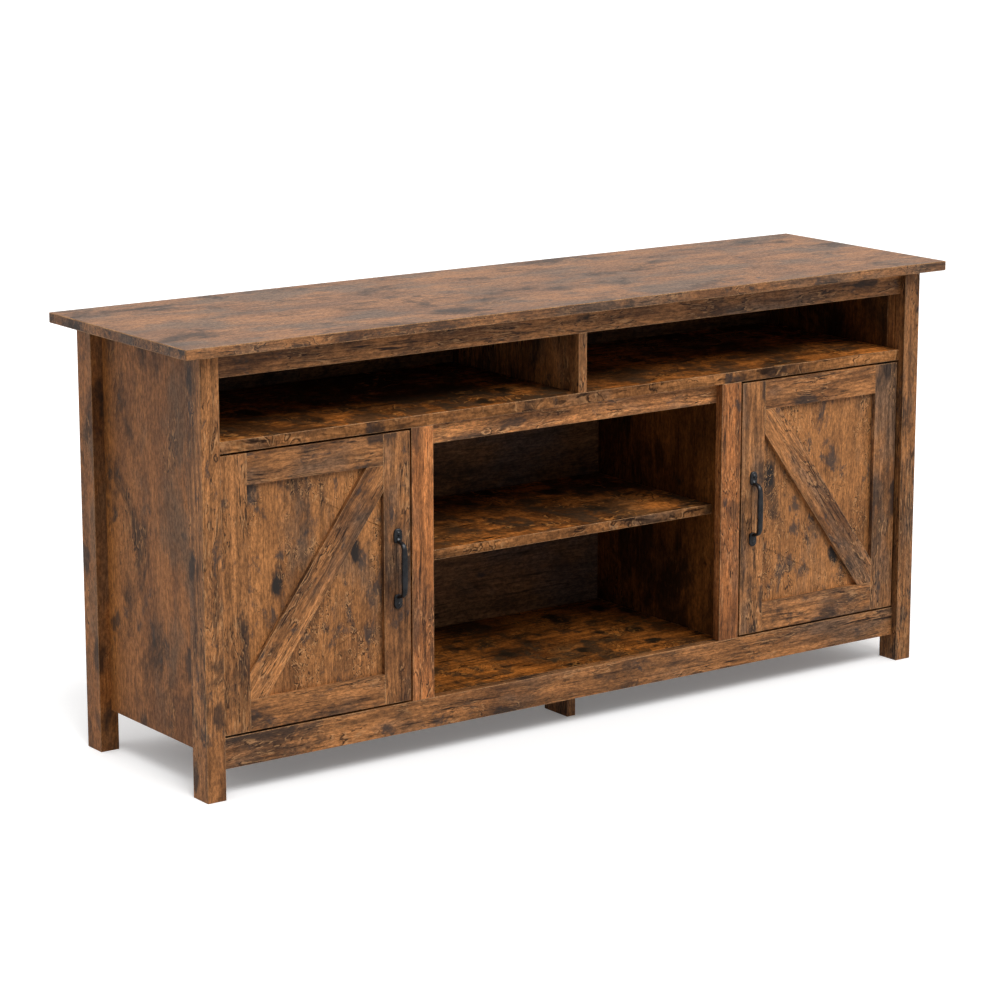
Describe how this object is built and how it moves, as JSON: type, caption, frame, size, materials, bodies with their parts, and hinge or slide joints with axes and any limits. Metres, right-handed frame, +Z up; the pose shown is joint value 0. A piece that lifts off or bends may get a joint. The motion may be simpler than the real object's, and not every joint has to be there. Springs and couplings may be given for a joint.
{
  "type": "tv stand",
  "caption": "Long farmhouse TV stand with two framed doors with diagonal braces, open cubbies under the top and an open shelved centre bay.",
  "frame": {"origin": "on the floor, under the centre of the top", "axes": "+X along the length to the right, -Y towards the doors' front, +Z up"},
  "size_m": [1.475, 0.41, 0.69],
  "materials": {
    "wood_top": "rustic brown printed wood grain, satin",
    "wood_rails": "rustic brown printed wood grain, satin",
    "wood_legs": "rustic brown printed wood grain, satin",
    "wood_sides": "grey-brown printed wood grain, satin",
    "wood_shelves": "dark orange-brown printed wood grain, satin",
    "wood_dividers": "rustic brown printed wood grain, satin",
    "wood_stiles": "reddish-brown printed wood grain, satin",
    "wood_back": "dark brown printed hardboard, matt",
    "wood_door_panel": "knotty orange-brown printed wood grain, satin",
    "wood_door_trim": "rustic brown printed wood grain, satin",
    "black_metal": "satin black",
    "steel": "bright zinc plated",
    "zinc": "die-cast, dull",
    "nylon": "dark brown nylon",
    "catch_plastic": "brown moulded plastic",
    "magnet": "nickel plated magnet",
    "dowel_wood": "plain beech"
  },
  "bodies": {
    "carcass": {"top_panel": "wood_top", "top_front_rail": "wood_rails", "bottom_front_rail": "wood_rails", "header_rail": "wood_rails", "front_leg_left": "wood_legs", "front_leg_right": "wood_legs", "back_leg_left": "wood_legs", "back_leg_right": "wood_legs", "side_panel_left": "wood_sides", "side_panel_right": "wood_sides", "media_shelf": "wood_shelves", "bottom_panel": "wood_shelves", "center_shelf": "wood_shelves", "cabinet_shelf_left": "wood_shelves", "cabinet_shelf_right": "wood_shelves", "cubby_divider": "wood_dividers", "divider_left": "wood_dividers", "divider_right": "wood_dividers", "center_foot": "wood_dividers", "stile_left": "wood_stiles", "stile_right": "wood_stiles", "back_sheet_left": "wood_back", "back_sheet_center": "wood_back", "back_sheet_right": "wood_back", "shelf_pegs": "steel", "cam_bolts": "steel", "back_nails": "steel", "cam_locks": "zinc", "hinge_bushings": "nylon", "catch_bodies": "catch_plastic", "catch_magnets": "magnet", "wood_dowels": "dowel_wood"},
    "left_door": {"door_panel_left": "wood_door_panel", "door_hinge_stile_left": "wood_door_trim", "door_handle_stile_left": "wood_door_trim", "door_top_rail_left": "wood_door_trim", "door_bottom_rail_left": "wood_door_trim", "door_brace_left": "wood_door_trim", "handle_left": "black_metal", "handle_screws_left": "black_metal", "hinge_pins_left": "black_metal", "strike_plate_left": "steel"},
    "right_door": {"door_panel_right": "wood_door_panel", "door_hinge_stile_right": "wood_door_trim", "door_handle_stile_right": "wood_door_trim", "door_top_rail_right": "wood_door_trim", "door_bottom_rail_right": "wood_door_trim", "door_brace_right": "wood_door_trim", "handle_right": "black_metal", "handle_screws_right": "black_metal", "hinge_pins_right": "black_metal", "strike_plate_right": "steel"}
  },
  "joints": [
    {"name": "left_door_hinge", "type": "hinge", "parent": "carcass", "child": "left_door", "pos_m": [-0.646, -0.158, 0.3075], "axis": [0, 0, -1], "range_deg": [0, 100]},
    {"name": "right_door_hinge", "type": "hinge", "parent": "carcass", "child": "right_door", "pos_m": [0.646, -0.158, 0.3075], "axis": [0, 0, 1], "range_deg": [0, 100]}
  ]
}
